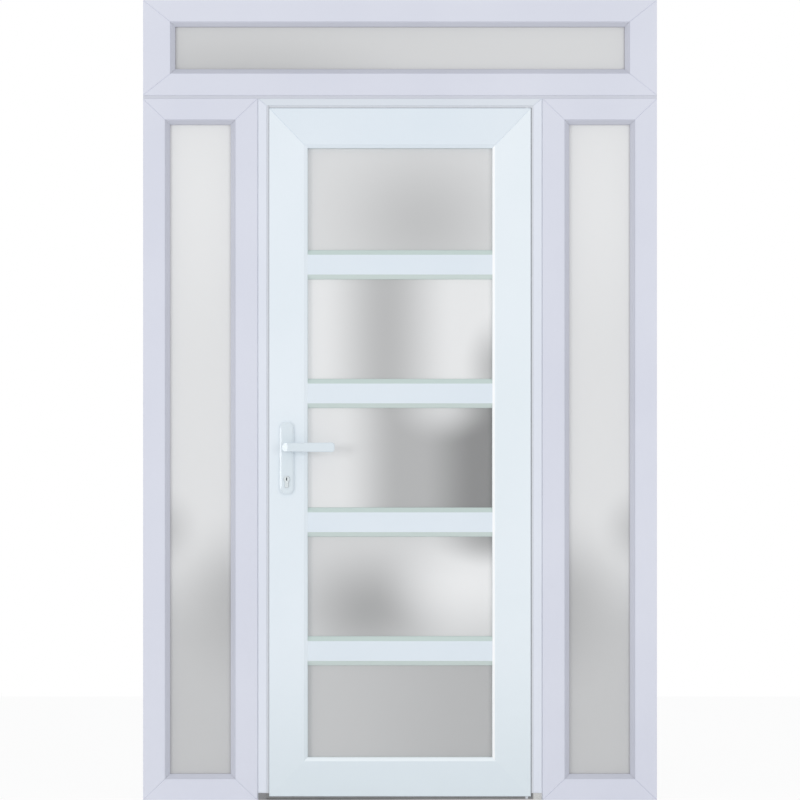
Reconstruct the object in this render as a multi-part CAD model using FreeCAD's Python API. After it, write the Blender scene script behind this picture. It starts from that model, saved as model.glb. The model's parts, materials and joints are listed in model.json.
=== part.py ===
import FreeCAD, Part
import math
import os

from FreeCAD import Vector

os.makedirs("parts", exist_ok=True)

# A white plastic door set: a glazed leaf between two fixed sidelights, under a fixed transom light.
# Millimetres. X runs to the right, Y away from the viewer, Z up. The origin is on the floor, under
# the middle of the doorway and at the middle of the frame's depth.

# Widths and heights of the set
DOOR_FRAME_WIDTH = 818.0
SIDELIGHT_WIDTH = 330.0
LOWER_HEIGHT = 2025.0
TRANSOM_HEIGHT = 275.0
FRAME_DEPTH = 70.0

# Couplers between the frames
SIDE_COUPLER_WIDTH = 3.0
HEAD_COUPLER_HEIGHT = 10.0
COUPLER_RECESS = 3.0

# Fixed light frames
SIDELIGHT_STILE_FACE = 63.0
SIDELIGHT_RAIL_FACE = 60.0
TRANSOM_STILE_FACE = 78.0
TRANSOM_RAIL_FACE = 62.0
BEAD_WIDTH = 14.0
BEAD_RECESS = 2.0
BEAD_FLAT = 3.0
BEAD_NOSE = 8.0
BACK_BEVEL = 11.0
GLASS_THICKNESS = 24.0
GLASS_SETBACK = 21.0
GLASS_EDGE_GAP = 3.0
ARRIS_RADIUS = 1.0
WELD_GROOVE = 1.2
BEAD_MITRE_GAP = 0.2

# Door frame and threshold
JAMB_FACE = 24.0
HEAD_FACE = 20.0
STOP_WIDTH = 20.0
STOP_SETBACK = 33.0
THRESHOLD_HEIGHT = 20.0
THRESHOLD_PLATE = 4.0
THRESHOLD_NOSE = 2.5

# Leaf
LEAF_GAP = 7.0
LEAF_FLOOR_GAP = 6.0
LEAF_PROUD = 3.0
LEAF_DEPTH = 70.0
LEAF_STILE_FACE = 100.5
LEAF_TOP_FACE = 105.0
LEAF_BOTTOM_FACE = 102.0
LEAF_BEVEL = 10.5
LEAF_BEVEL_DEPTH = 6.0
LEAF_GLASS_SETBACK = 20.0
LEAF_ARRIS_RADIUS = 3.0
FLANGE_THICKNESS = 30.0
FLANGE_OVERLAP = 26.0
FLANGE_CHAMFER = 6.0
REBATE_WIDTH = 20.0
REAR_BEAD_WIDTH = 18.0
REAR_BEAD_FLAT = 10.0
REAR_BEAD_NOSE = 8.0
BAR_COUNT = 4
BAR_FACE = 57.0
BAR_BEVEL = 13.0
BAR_RECESS = 6.0
BAR_EDGE = 4.0
BOTTOM_PANE_HEIGHT = 266.0
TOP_PANE_EXTRA = 6.0

# Pivots that carry the leaf
PIVOT_FROM_EDGE = 12.0
PIVOT_FROM_FACE = 9.0
PIVOT_PIN_RADIUS = 4.0
PIVOT_FIT = 0.05
PIVOT_COLLAR_RADIUS = 6.0
PIVOT_COLLAR_GAP = 0.3
PIVOT_DEPTH = 45.0

# Handle set
LEVER_FROM_EDGE = 51.0
LEVER_HEIGHT = 1019.0
PLATE_WIDTH = 40.0
PLATE_HEIGHT = 210.0
PLATE_THICKNESS = 9.0
PLATE_TOP_ABOVE_LEVER = 73.0
PLATE_CORNER_RADIUS = 18.0
PLATE_RIM_WIDTH = 6.0
PLATE_RIM_DEPTH = 3.5
PLATE_CREST = 0.8
LEVER_REACH = 139.0
LEVER_STANDOFF = 21.0
LEVER_BAR_DEPTH = 14.0
LEVER_ROOT_HEIGHT = 24.0
LEVER_ROOT_RADIUS = 11.0
LEVER_TIP_HEIGHT = 28.0
LEVER_TIP_RADIUS = 9.0
LEVER_RIM = 2.0
LEVER_NECK_RADIUS = 11.0
LEVER_RUNNING_GAP = 0.3
ELBOW_WIDTH = 15.0
ELBOW_DEPTH = 5.5
SPINDLE_WIDTH = 8.0
SPINDLE_FIT = 0.05
SPINDLE_GRIP = 14.0
SPINDLE_HOLE_RADIUS = 7.0

# Lock
CYLINDER_BELOW_LEVER = 92.0
CYLINDER_RADIUS = 8.5
CYLINDER_TAIL_WIDTH = 10.0
CYLINDER_HEIGHT = 33.0
CYLINDER_PROUD = 3.0
CYLINDER_FIT = 0.4
KEYWAY_WIDTH = 3.0
KEYWAY_HEIGHT = 9.0
KEYWAY_DEPTH = 6.0
FACEPLATE_WIDTH = 20.0
FACEPLATE_HEIGHT = 260.0
FACEPLATE_THICKNESS = 3.0
FACEPLATE_FIT = 0.2
LATCH_PROUD = 5.0
LATCH_WIDTH = 12.0
LATCH_HEIGHT = 30.0
STRIKE_WIDTH = 24.0
STRIKE_THICKNESS = 2.5

# Planes and rectangles that follow from the sizes above
Y_FRONT = -FRAME_DEPTH / 2
Y_BACK = FRAME_DEPTH / 2
Y_GLASS = Y_FRONT + GLASS_SETBACK
Y_STOP = Y_FRONT + STOP_SETBACK
Y_LEAF = Y_FRONT - LEAF_PROUD
Y_LEAF_BACK = Y_LEAF + LEAF_DEPTH
Y_PANE = Y_LEAF + LEAF_GLASS_SETBACK
Y_PANE_BACK = Y_PANE + GLASS_THICKNESS

DOOR_HALF = DOOR_FRAME_WIDTH / 2
SIDE_INNER = DOOR_HALF + SIDE_COUPLER_WIDTH
SIDE_OUTER = SIDE_INNER + SIDELIGHT_WIDTH
TRANSOM_BOTTOM = LOWER_HEIGHT + HEAD_COUPLER_HEIGHT
TRANSOM_TOP = TRANSOM_BOTTOM + TRANSOM_HEIGHT
JAMB_INNER = DOOR_HALF - JAMB_FACE
HEAD_UNDERSIDE = LOWER_HEIGHT - HEAD_FACE

LEAF_HALF = JAMB_INNER - LEAF_GAP
LEAF_BOTTOM = THRESHOLD_PLATE + LEAF_FLOOR_GAP
LEAF_TOP = HEAD_UNDERSIDE - LEAF_GAP
LEAF_RECT = (-LEAF_HALF, LEAF_BOTTOM, LEAF_HALF, LEAF_TOP)
DAYLIGHT_HALF = LEAF_HALF - LEAF_STILE_FACE - LEAF_BEVEL
DAYLIGHT_BOTTOM = LEAF_BOTTOM + LEAF_BOTTOM_FACE + LEAF_BEVEL
DAYLIGHT_TOP = LEAF_TOP - LEAF_TOP_FACE - LEAF_BEVEL
DAYLIGHT_RECT = (-DAYLIGHT_HALF, DAYLIGHT_BOTTOM, DAYLIGHT_HALF, DAYLIGHT_TOP)

BAR_WIDTH = BAR_FACE + 2 * BAR_BEVEL
BARS_TOP = DAYLIGHT_TOP - TOP_PANE_EXTRA
BAR_PITCH = (BARS_TOP - DAYLIGHT_BOTTOM - BOTTOM_PANE_HEIGHT) / BAR_COUNT
BAR_MIDDLES = [BARS_TOP - (i + 1) * BAR_PITCH + BAR_WIDTH / 2 for i in range(BAR_COUNT)]

PIVOT_X = LEAF_HALF - PIVOT_FROM_EDGE
PIVOT_Y = Y_LEAF + PIVOT_FROM_FACE
LEVER_X = -LEAF_HALF + LEVER_FROM_EDGE
CYLINDER_Z = LEVER_HEIGHT - CYLINDER_BELOW_LEVER

SIDES = ("left", "right", "bottom", "top")
UPRIGHT_SIDES = ("left", "right")


def save(name, *solids):
    """Write one node: a single solid, or like solids that stand apart."""
    shape = solids[0] if len(solids) == 1 else Part.makeCompound(list(solids))
    shape.exportStep("parts/" + name + ".step")


def box(x0, y0, z0, x1, y1, z1):
    """Upright block between two opposite corners."""
    return Part.makeBox(x1 - x0, y1 - y0, z1 - z0, Vector(x0, y0, z0))


def grown(rect, margin):
    """A rectangle (x0, z0, x1, z1) made larger, or smaller by a negative margin, on every side."""
    x0, z0, x1, z1 = rect
    return (x0 - margin, z0 - margin, x1 + margin, z1 + margin)


def rounded_wire(corners, place):
    """Closed wire through flat corners (u, v) or (u, v, radius), with a tangent arc at each radius."""
    count = len(corners)
    flats = [Vector(corner[0], corner[1], 0) for corner in corners]
    stations = []
    for i in range(count):
        radius = corners[i][2] if len(corners[i]) > 2 else 0
        if radius == 0:
            stations.append((flats[i],))
            continue
        to_last = (flats[i - 1] - flats[i]).normalize()
        to_next = (flats[(i + 1) % count] - flats[i]).normalize()
        half_angle = to_last.getAngle(to_next) / 2
        run = radius / math.tan(half_angle)
        inward = (to_last + to_next).normalize()
        middle = flats[i] + inward * (radius / math.sin(half_angle) - radius)
        stations.append((flats[i] + to_last * run, middle, flats[i] + to_next * run))
    edges = []
    for i in range(count):
        points = [place(point.x, point.y) for point in stations[i]]
        if len(points) > 1:
            edges.append(Part.Arc(*points).toShape())
        following = stations[(i + 1) % count][0]
        edges.append(Part.LineSegment(points[-1], place(following.x, following.y)).toShape())
    return Part.Wire(edges)


def side_ends(rect, side):
    """The two corners (x, z) that end one side of a rectangle, the low or left one first."""
    x0, z0, x1, z1 = rect
    ends = {
        "left": ((x0, z0), (x0, z1)),
        "right": ((x1, z0), (x1, z1)),
        "bottom": ((x0, z0), (x1, z0)),
        "top": ((x0, z1), (x1, z1)),
    }
    return ends[side]


def profile_bar(section, rect, side):
    """A section (inward distance, y) drawn along one whole side of a rectangle."""
    x0, z0, x1, z1 = rect
    places = {
        "left": lambda u, y: Vector(x0 + u, y, z0),
        "right": lambda u, y: Vector(x1 - u, y, z0),
        "bottom": lambda u, y: Vector(x0, y, z0 + u),
        "top": lambda u, y: Vector(x0, y, z1 - u),
    }
    length = Vector(0, 0, z1 - z0) if side in UPRIGHT_SIDES else Vector(x1 - x0, 0, 0)
    return Part.Face(rounded_wire(section, places[side])).extrude(length)


def mitre_wire(rects, side, low_gap, high_gap, y):
    """Outline, at depth y, of the space that one member has between its two mitres."""
    along = Vector(0, 0, 1) if side in UPRIGHT_SIDES else Vector(1, 0, 0)
    lows = []
    highs = []
    for rect in rects:
        low, high = side_ends(rect, side)
        lows.append(Vector(low[0], y, low[1]) + along * low_gap)
        highs.append(Vector(high[0], y, high[1]) - along * high_gap)
    return Part.makePolygon(lows + highs[::-1] + lows[:1])


def welded_member(section, rects, side, y_front, y_back, low_groove=WELD_GROOVE, high_groove=WELD_GROOVE):
    """Profile cut to its two mitres, with a shallow groove along each weld on the front."""
    outlines = [
        mitre_wire(rects, side, low_groove, high_groove, y_front),
        mitre_wire(rects, side, 0, 0, y_front + WELD_GROOVE),
        mitre_wire(rects, side, 0, 0, y_back),
    ]
    return profile_bar(section, rects[0], side).common(Part.makeLoft(outlines, True, True)).Solids[0]


def cut_bead(section, rects, side, y_front, y_back):
    """Glazing bead cut to its two mitres, a hair short of its neighbours."""
    outlines = [mitre_wire(rects, side, BEAD_MITRE_GAP, BEAD_MITRE_GAP, y) for y in (y_front, y_back)]
    return profile_bar(section, rects[0], side).common(Part.makeLoft(outlines, True, True)).Solids[0]


# Fixed lights: the transom and both sidelights share one profile, with the beads on the front


def light_section(face):
    """Frame profile from its outer edge inwards: face, glass rebate, and bevelled lip behind the glass."""
    lip = face + BEAD_WIDTH
    y_seat = Y_GLASS + GLASS_THICKNESS
    return [
        (0, Y_FRONT, ARRIS_RADIUS),
        (face, Y_FRONT),
        (face, y_seat),
        (lip, y_seat),
        (lip, Y_BACK - BACK_BEVEL),
        (lip - BACK_BEVEL, Y_BACK),
        (0, Y_BACK, ARRIS_RADIUS),
    ]


def front_bead_section():
    """Sloping bead that holds the glass from the front."""
    y_top = Y_FRONT + BEAD_RECESS
    return [
        (0, y_top),
        (BEAD_FLAT, y_top),
        (BEAD_WIDTH, Y_GLASS - BEAD_NOSE),
        (BEAD_WIDTH, Y_GLASS),
        (0, Y_GLASS),
    ]


def build_light(name, rect, stile_face, rail_face, member_names):
    """One fixed light: four welded members, four beads and the glass."""
    x0, z0, x1, z1 = rect
    rebate = (x0 + stile_face, z0 + rail_face, x1 - stile_face, z1 - rail_face)
    daylight = grown(rebate, -BEAD_WIDTH)
    for side in SIDES:
        face = stile_face if side in UPRIGHT_SIDES else rail_face
        member = welded_member(light_section(face), (rect, rebate, daylight), side, Y_FRONT, Y_BACK)
        save(name + "_" + member_names[side], member)
    beads = [cut_bead(front_bead_section(), (rebate, daylight), side, Y_FRONT, Y_GLASS) for side in SIDES]
    save(name + "_beads", *beads)
    gx0, gz0, gx1, gz1 = grown(rebate, -GLASS_EDGE_GAP)
    save(name + "_glass", box(gx0, Y_GLASS, gz0, gx1, Y_GLASS + GLASS_THICKNESS, gz1))


RAILS = {"bottom": "bottom_rail", "top": "top_rail"}

build_light(
    "transom",
    (-SIDE_OUTER, TRANSOM_BOTTOM, SIDE_OUTER, TRANSOM_TOP),
    TRANSOM_STILE_FACE,
    TRANSOM_RAIL_FACE,
    dict(RAILS, left="left_stile", right="right_stile"),
)
build_light(
    "left_sidelight",
    (-SIDE_OUTER, 0, -SIDE_INNER, LOWER_HEIGHT),
    SIDELIGHT_STILE_FACE,
    SIDELIGHT_RAIL_FACE,
    dict(RAILS, left="outer_stile", right="inner_stile"),
)
build_light(
    "right_sidelight",
    (SIDE_INNER, 0, SIDE_OUTER, LOWER_HEIGHT),
    SIDELIGHT_STILE_FACE,
    SIDELIGHT_RAIL_FACE,
    dict(RAILS, left="inner_stile", right="outer_stile"),
)

# Couplers, set back from the faces so that the joints show as seams

Y_COUPLER = Y_FRONT + COUPLER_RECESS
for name, x in (("left_coupler", -SIDE_INNER), ("right_coupler", DOOR_HALF)):
    save(name, box(x, Y_COUPLER, 0, x + SIDE_COUPLER_WIDTH, -Y_COUPLER, LOWER_HEIGHT))
save("head_coupler", box(-SIDE_OUTER, Y_COUPLER, LOWER_HEIGHT, SIDE_OUTER, -Y_COUPLER, TRANSOM_BOTTOM))

# Door frame: rebated jambs and head, over a metal threshold with an end block under each jamb


def rebated_section(face):
    """Frame profile from its outer edge inwards: face, then the stop that the leaf closes on."""
    return [
        (0, Y_FRONT, ARRIS_RADIUS),
        (face, Y_FRONT, ARRIS_RADIUS),
        (face, Y_STOP),
        (face + STOP_WIDTH, Y_STOP, ARRIS_RADIUS),
        (face + STOP_WIDTH, Y_BACK, ARRIS_RADIUS),
        (0, Y_BACK, ARRIS_RADIUS),
    ]


FRAME_RECT = (-DOOR_HALF, THRESHOLD_HEIGHT, DOOR_HALF, LOWER_HEIGHT)
OPENING_RECT = (-JAMB_INNER, THRESHOLD_HEIGHT, JAMB_INNER, HEAD_UNDERSIDE)
STOP_INNER = JAMB_INNER - STOP_WIDTH
STOP_RECT = (-STOP_INNER, THRESHOLD_HEIGHT, STOP_INNER, HEAD_UNDERSIDE - STOP_WIDTH)
FRAME_RECTS = (FRAME_RECT, OPENING_RECT, STOP_RECT)

FACEPLATE_Y = (Y_LEAF + FLANGE_THICKNESS + Y_LEAF_BACK) / 2


def edge_plate(x0, x1, width, height):
    """Upright plate on an edge of the lock side, centred on the lock."""
    half = width / 2
    z0 = LEVER_HEIGHT - height / 2
    return box(x0, FACEPLATE_Y - half, z0, x1, FACEPLATE_Y + half, z0 + height)


strike_recess = edge_plate(
    -STOP_INNER - STRIKE_THICKNESS,
    -STOP_INNER,
    STRIKE_WIDTH + 2 * FACEPLATE_FIT,
    FACEPLATE_HEIGHT + 2 * FACEPLATE_FIT,
)
strike_plate = edge_plate(-STOP_INNER - STRIKE_THICKNESS, -STOP_INNER, STRIKE_WIDTH, FACEPLATE_HEIGHT)
left_jamb = welded_member(rebated_section(JAMB_FACE), FRAME_RECTS, "left", Y_FRONT, Y_BACK)
save("door_left_jamb", left_jamb.cut(strike_recess))
save("strike_plate", strike_plate)
save("door_right_jamb", welded_member(rebated_section(JAMB_FACE), FRAME_RECTS, "right", Y_FRONT, Y_BACK))
save("door_head", welded_member(rebated_section(HEAD_FACE), FRAME_RECTS, "top", Y_FRONT, Y_BACK))

threshold_section = [
    (0, Y_FRONT),
    (THRESHOLD_PLATE, Y_FRONT, THRESHOLD_NOSE),
    (THRESHOLD_PLATE, Y_STOP),
    (THRESHOLD_HEIGHT, Y_STOP, THRESHOLD_NOSE),
    (THRESHOLD_HEIGHT, Y_BACK, THRESHOLD_NOSE),
    (0, Y_BACK),
]
save("threshold", profile_bar(threshold_section, (-JAMB_INNER, 0, JAMB_INNER, THRESHOLD_HEIGHT), "bottom"))
end_blocks = [
    box(x, Y_FRONT, 0, x + JAMB_FACE, Y_BACK, THRESHOLD_HEIGHT) for x in (-DOOR_HALF, JAMB_INNER)
]
save("threshold_end_blocks", *end_blocks)

# Pivots: a pin on a collar, one on the threshold and one under the head


def pivot_pin(z_seat, z_collar, z_tip):
    """Pin on the leaf's axis, with a collar between its seat and the leaf."""
    up = Vector(0, 0, math.copysign(1, z_tip - z_seat))
    seat = Vector(PIVOT_X, PIVOT_Y, z_seat)
    collar = Part.makeCylinder(PIVOT_COLLAR_RADIUS, abs(z_collar - z_seat), seat, up)
    return collar.fuse(Part.makeCylinder(PIVOT_PIN_RADIUS, abs(z_tip - z_seat), seat, up)).removeSplitter()


save("bottom_pivot", pivot_pin(THRESHOLD_PLATE, LEAF_BOTTOM - PIVOT_COLLAR_GAP, LEAF_BOTTOM + PIVOT_DEPTH))
save("top_pivot", pivot_pin(HEAD_UNDERSIDE, LEAF_TOP + PIVOT_COLLAR_GAP, LEAF_TOP - PIVOT_DEPTH))

# Leaf: welded stiles and rails with a flange over the frame, and a rebate for the panes

LEAF_RECTS = (LEAF_RECT, DAYLIGHT_RECT)


def leaf_section(face):
    """Leaf profile from its outer edge inwards: flange, bevelled lip, glass rebate and rear body."""
    lip = face + LEAF_BEVEL
    y_flange = Y_LEAF + FLANGE_THICKNESS
    return [
        (0, Y_LEAF, LEAF_ARRIS_RADIUS),
        (face, Y_LEAF),
        (lip, Y_LEAF + LEAF_BEVEL_DEPTH),
        (lip, Y_PANE),
        (lip - REBATE_WIDTH, Y_PANE),
        (lip - REBATE_WIDTH, Y_LEAF_BACK),
        (FLANGE_OVERLAP, Y_LEAF_BACK, ARRIS_RADIUS),
        (FLANGE_OVERLAP, y_flange),
        (FLANGE_CHAMFER, y_flange),
        (0, y_flange - FLANGE_CHAMFER),
    ]


def leaf_member(face, side, low_groove, high_groove):
    """One welded side of the leaf; the welds at its foot are dressed flush."""
    return welded_member(leaf_section(face), LEAF_RECTS, side, Y_LEAF, Y_LEAF_BACK, low_groove, high_groove)


def through_leaf(radius, x, z):
    """Round bore from front to back through the leaf."""
    return Part.makeCylinder(radius, LEAF_DEPTH, Vector(x, Y_LEAF, z), Vector(0, 1, 0))


def cylinder_solid(margin, y0, y1):
    """Lock cylinder: a round barrel with a narrower tail below it, grown by a margin."""
    depth = Vector(0, y1 - y0, 0)
    radius = CYLINDER_RADIUS + margin
    half_tail = CYLINDER_TAIL_WIDTH / 2 + margin
    z_low = CYLINDER_Z + CYLINDER_RADIUS - CYLINDER_HEIGHT - margin
    barrel = Part.makeCylinder(radius, y1 - y0, Vector(LEVER_X, y0, CYLINDER_Z), Vector(0, 1, 0))
    tail_corners = [
        (-half_tail, CYLINDER_Z),
        (half_tail, CYLINDER_Z),
        (half_tail, z_low, half_tail / 2),
        (-half_tail, z_low, half_tail / 2),
    ]
    tail_wire = rounded_wire(tail_corners, lambda u, z: Vector(LEVER_X + u, y0, z))
    return barrel.fuse(Part.Face(tail_wire).extrude(depth)).removeSplitter()


LOCK_EDGE = -LEAF_HALF + FLANGE_OVERLAP
pivot_bores = [
    Part.makeCylinder(
        PIVOT_PIN_RADIUS + PIVOT_FIT,
        PIVOT_DEPTH + PIVOT_FIT,
        Vector(PIVOT_X, PIVOT_Y, z),
        Vector(0, 0, up),
    )
    for z, up in ((LEAF_BOTTOM, 1), (LEAF_TOP, -1))
]
lock_cuts = [
    through_leaf(SPINDLE_HOLE_RADIUS, LEVER_X, LEVER_HEIGHT),
    cylinder_solid(CYLINDER_FIT, Y_LEAF, Y_LEAF_BACK),
    edge_plate(
        LOCK_EDGE,
        LOCK_EDGE + FACEPLATE_THICKNESS,
        FACEPLATE_WIDTH + 2 * FACEPLATE_FIT,
        FACEPLATE_HEIGHT + 2 * FACEPLATE_FIT,
    ),
]
save("leaf_left_stile", leaf_member(LEAF_STILE_FACE, "left", 0, WELD_GROOVE).cut(lock_cuts))
save("leaf_right_stile", leaf_member(LEAF_STILE_FACE, "right", 0, WELD_GROOVE).cut(pivot_bores))
save("leaf_top_rail", leaf_member(LEAF_TOP_FACE, "top", WELD_GROOVE, WELD_GROOVE).cut(pivot_bores))
save("leaf_bottom_rail", leaf_member(LEAF_BOTTOM_FACE, "bottom", 0, 0).cut(pivot_bores))


def glazing_bar(z):
    """Level bar between two panes: a bevelled cap on a web that runs into the stiles."""
    half_face = BAR_FACE / 2
    half_cap = BAR_WIDTH / 2
    half_web = half_cap - REBATE_WIDTH
    y_cap = Y_LEAF + BAR_RECESS
    cap_corners = [
        (-half_face, y_cap),
        (half_face, y_cap),
        (half_cap, Y_PANE - BAR_EDGE),
        (half_cap, Y_PANE),
        (-half_cap, Y_PANE),
        (-half_cap, Y_PANE - BAR_EDGE),
    ]
    cap_wire = rounded_wire(cap_corners, lambda v, y: Vector(-DAYLIGHT_HALF, y, z + v))
    cap = Part.Face(cap_wire).extrude(Vector(2 * DAYLIGHT_HALF, 0, 0))
    web_half = DAYLIGHT_HALF + REBATE_WIDTH
    web = box(-web_half, Y_PANE, z - half_web, web_half, Y_LEAF_BACK, z + half_web)
    return cap.fuse(web).removeSplitter()


def rear_bead_section():
    """Bead that holds a pane from the back of the leaf."""
    return [
        (0, Y_PANE_BACK),
        (REAR_BEAD_WIDTH, Y_PANE_BACK),
        (REAR_BEAD_WIDTH, Y_PANE_BACK + REAR_BEAD_NOSE),
        (REAR_BEAD_FLAT, Y_LEAF_BACK),
        (0, Y_LEAF_BACK),
    ]


save("leaf_bars", *[glazing_bar(z) for z in BAR_MIDDLES])

pane_tops = [DAYLIGHT_TOP] + [z - BAR_WIDTH / 2 for z in BAR_MIDDLES]
pane_bottoms = [z + BAR_WIDTH / 2 for z in BAR_MIDDLES] + [DAYLIGHT_BOTTOM]
panes = []
rear_beads = []
for z_top, z_bottom in zip(pane_tops, pane_bottoms):
    rebate = grown((-DAYLIGHT_HALF, z_bottom, DAYLIGHT_HALF, z_top), REBATE_WIDTH)
    gx0, gz0, gx1, gz1 = grown(rebate, -GLASS_EDGE_GAP)
    panes.append(box(gx0, Y_PANE, gz0, gx1, Y_PANE_BACK, gz1))
    bead_rects = (rebate, grown(rebate, -REAR_BEAD_WIDTH))
    for side in SIDES:
        rear_beads.append(cut_bead(rear_bead_section(), bead_rects, side, Y_PANE_BACK, Y_LEAF_BACK))
save("leaf_panes", *panes)
save("leaf_rear_beads", *rear_beads)

# Handle set: long plates, levers on one square spindle, and the lock


def plate_outline(inset, y):
    """Outline of a long plate with rounded ends, drawn in by an inset."""
    half = PLATE_WIDTH / 2 - inset
    z_top = LEVER_HEIGHT + PLATE_TOP_ABOVE_LEVER - inset
    z_low = LEVER_HEIGHT + PLATE_TOP_ABOVE_LEVER - PLATE_HEIGHT + inset
    radius = PLATE_CORNER_RADIUS - inset
    corners = [(-half, z_low, radius), (half, z_low, radius), (half, z_top, radius), (-half, z_top, radius)]
    return rounded_wire(corners, lambda u, z: Vector(LEVER_X + u, y, z))


def backplate(y_seat, outward):
    """Long plate with a sloping rim and a faint crest, bored for the spindle and the lock cylinder."""
    y_face = y_seat + outward * PLATE_THICKNESS
    y_rim = y_face - outward * PLATE_RIM_DEPTH
    outlines = [plate_outline(0, y_seat), plate_outline(0, y_rim), plate_outline(PLATE_RIM_WIDTH, y_face)]
    half = PLATE_WIDTH / 2
    y_shoulder = y_face - outward * PLATE_CREST
    z_low = LEVER_HEIGHT + PLATE_TOP_ABOVE_LEVER - PLATE_HEIGHT
    roof_corners = [(-half, y_seat), (half, y_seat), (half, y_shoulder), (0, y_face), (-half, y_shoulder)]
    roof = Part.Face(rounded_wire(roof_corners, lambda u, y: Vector(LEVER_X + u, y, z_low)))
    plate = Part.makeLoft(outlines, True, True).common(roof.extrude(Vector(0, 0, PLATE_HEIGHT)))
    y0, y1 = sorted((y_seat, y_face))
    spindle_hole = Part.makeCylinder(
        SPINDLE_HOLE_RADIUS, PLATE_THICKNESS, Vector(LEVER_X, y0, LEVER_HEIGHT), Vector(0, 1, 0)
    )
    return plate.cut([spindle_hole, cylinder_solid(CYLINDER_FIT, y0, y1)]).Solids[0]


save("outer_backplate", backplate(Y_LEAF, -1))
save("inner_backplate", backplate(Y_LEAF_BACK, 1))

Y_CYLINDER = Y_LEAF - PLATE_THICKNESS - CYLINDER_PROUD
Y_CYLINDER_BACK = Y_LEAF_BACK + PLATE_THICKNESS + CYLINDER_PROUD
keyways = [
    box(
        LEVER_X - KEYWAY_WIDTH / 2,
        y,
        CYLINDER_Z - KEYWAY_HEIGHT / 2,
        LEVER_X + KEYWAY_WIDTH / 2,
        y + KEYWAY_DEPTH,
        CYLINDER_Z + KEYWAY_HEIGHT / 2,
    )
    for y in (Y_CYLINDER, Y_CYLINDER_BACK - KEYWAY_DEPTH)
]
save("lock_cylinder", cylinder_solid(0, Y_CYLINDER, Y_CYLINDER_BACK).cut(keyways))

faceplate = edge_plate(LOCK_EDGE, LOCK_EDGE + FACEPLATE_THICKNESS, FACEPLATE_WIDTH, FACEPLATE_HEIGHT)
latch = edge_plate(LOCK_EDGE - LATCH_PROUD, LOCK_EDGE + FACEPLATE_THICKNESS, LATCH_WIDTH, LATCH_HEIGHT)
save("lock_faceplate", faceplate.fuse(latch).removeSplitter())


def lever_outline(inset, y):
    """Front outline of a lever, round at its root and a little wider at its tip, drawn in by an inset."""
    x_root = inset - LEVER_ROOT_HEIGHT / 2
    x_tip = LEVER_REACH - inset
    half_root = LEVER_ROOT_HEIGHT / 2 - inset
    half_tip = LEVER_TIP_HEIGHT / 2 - inset
    corners = [
        (x_root, -half_root, LEVER_ROOT_RADIUS - inset),
        (x_tip, -half_tip, LEVER_TIP_RADIUS - inset),
        (x_tip, half_tip, LEVER_TIP_RADIUS - inset),
        (x_root, half_root, LEVER_ROOT_RADIUS - inset),
    ]
    return rounded_wire(corners, lambda u, h: Vector(LEVER_X + u, y, LEVER_HEIGHT + h))


def elbow_wedge(y_front, outward):
    """Block whose slanted side slopes the lever's front down towards its root."""
    x_root = LEVER_X - LEVER_ROOT_HEIGHT / 2
    z = LEVER_HEIGHT - LEVER_TIP_HEIGHT / 2
    rise = outward * ELBOW_DEPTH
    corners = [
        Vector(x_root - ELBOW_WIDTH, y_front - 2 * rise, z),
        Vector(x_root + 2 * ELBOW_WIDTH, y_front + rise, z),
        Vector(x_root - ELBOW_WIDTH, y_front + rise, z),
    ]
    return Part.Face(Part.makePolygon(corners + corners[:1])).extrude(Vector(0, 0, LEVER_TIP_HEIGHT))


def lever(y_plate, outward):
    """Lever: a round neck on the spindle's axis and a level bar with a chamfered rim and a slanted elbow."""
    y_neck = y_plate + outward * LEVER_RUNNING_GAP
    y_back = y_plate + outward * LEVER_STANDOFF
    y_front = y_back + outward * LEVER_BAR_DEPTH
    outlines = [
        lever_outline(0, y_back),
        lever_outline(0, y_front - outward * LEVER_RIM),
        lever_outline(LEVER_RIM, y_front),
    ]
    bar = Part.makeLoft(outlines, True, True).cut(elbow_wedge(y_front, outward))
    neck = Part.makeCylinder(
        LEVER_NECK_RADIUS,
        LEVER_STANDOFF - LEVER_RUNNING_GAP,
        Vector(LEVER_X, y_neck, LEVER_HEIGHT),
        Vector(0, outward, 0),
    )
    return bar.fuse(neck).removeSplitter()


def square_spindle(margin, y0, y1):
    """Square bar on the lever's axis, grown by a margin."""
    half = SPINDLE_WIDTH / 2 + margin
    return box(LEVER_X - half, y0, LEVER_HEIGHT - half, LEVER_X + half, y1, LEVER_HEIGHT + half)


Y_SPINDLE = Y_LEAF - PLATE_THICKNESS - SPINDLE_GRIP
Y_SPINDLE_BACK = Y_LEAF_BACK + PLATE_THICKNESS + SPINDLE_GRIP
socket = square_spindle(SPINDLE_FIT, Y_SPINDLE - SPINDLE_FIT, Y_SPINDLE_BACK + SPINDLE_FIT)
save("outer_lever", lever(Y_LEAF - PLATE_THICKNESS, -1).cut(socket))
save("inner_lever", lever(Y_LEAF_BACK + PLATE_THICKNESS, 1).cut(socket))
save("spindle", square_spindle(0, Y_SPINDLE, Y_SPINDLE_BACK))
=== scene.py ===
# %% [markdown]
# A white plastic door set: a glazed leaf between two fixed sidelights, under a transom light.
# The solids come packed from the CAD model. This lesson gives them their finishes, adds the soft
# gaskets, seals and small screws that a solid model leaves out, and lights the whole like a studio
# photo.

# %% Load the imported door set
import bmesh
import bpy
import json
import math
from mathutils import Matrix, Vector


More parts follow.
